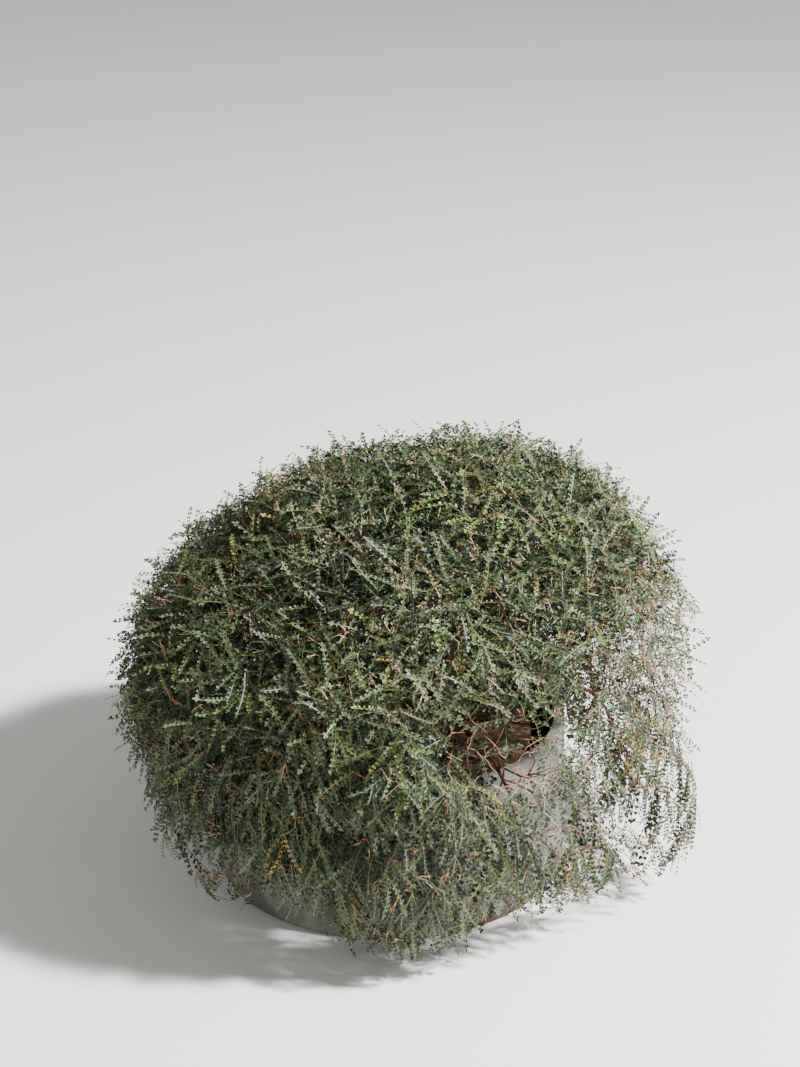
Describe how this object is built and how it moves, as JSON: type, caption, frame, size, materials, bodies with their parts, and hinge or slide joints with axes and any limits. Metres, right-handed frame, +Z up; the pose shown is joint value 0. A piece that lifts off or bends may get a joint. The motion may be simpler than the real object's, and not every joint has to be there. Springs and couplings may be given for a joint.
{
  "type": "potted thorny burnet",
  "caption": "Dense spiny cushion shrub with small pinnate leaves, branching from a short trunk in a low round cast pot.",
  "frame": {"origin": "centre of the pot's flat underside", "axes": "+Z up, -Y to the side that the picture is taken from, +X to the right of that view"},
  "size_m": [0.7225, 0.7371, 0.5572],
  "materials": {
    "pot": "smooth cast concrete, matt",
    "soil": "loose dark potting soil",
    "bark": "thin reddish-brown bark",
    "foliage": "small dull green leaves"
  },
  "bodies": {
    "root": {"pot": "pot", "soil": "soil", "trunk": "bark", "bough_top_1": "bark", "bough_top_2": "bark", "bough_top_3": "bark", "bough_shoulder_1": "bark", "bough_shoulder_2": "bark", "bough_shoulder_3": "bark", "bough_shoulder_4": "bark", "bough_shoulder_5": "bark", "bough_shoulder_6": "bark", "bough_skirt_1": "bark", "bough_skirt_2": "bark", "bough_skirt_3": "bark", "bough_skirt_4": "bark", "bough_skirt_5": "bark", "bough_skirt_6": "bark", "foliage_top_1": "foliage", "foliage_top_2": "foliage", "foliage_top_3": "foliage", "foliage_shoulder_1": "foliage", "foliage_shoulder_2": "foliage", "foliage_shoulder_3": "foliage", "foliage_shoulder_4": "foliage", "foliage_shoulder_5": "foliage", "foliage_shoulder_6": "foliage", "foliage_skirt_1": "foliage", "foliage_skirt_2": "foliage", "foliage_skirt_3": "foliage", "foliage_skirt_4": "foliage", "foliage_skirt_5": "foliage", "foliage_skirt_6": "foliage"}
  },
  "joints": []
}
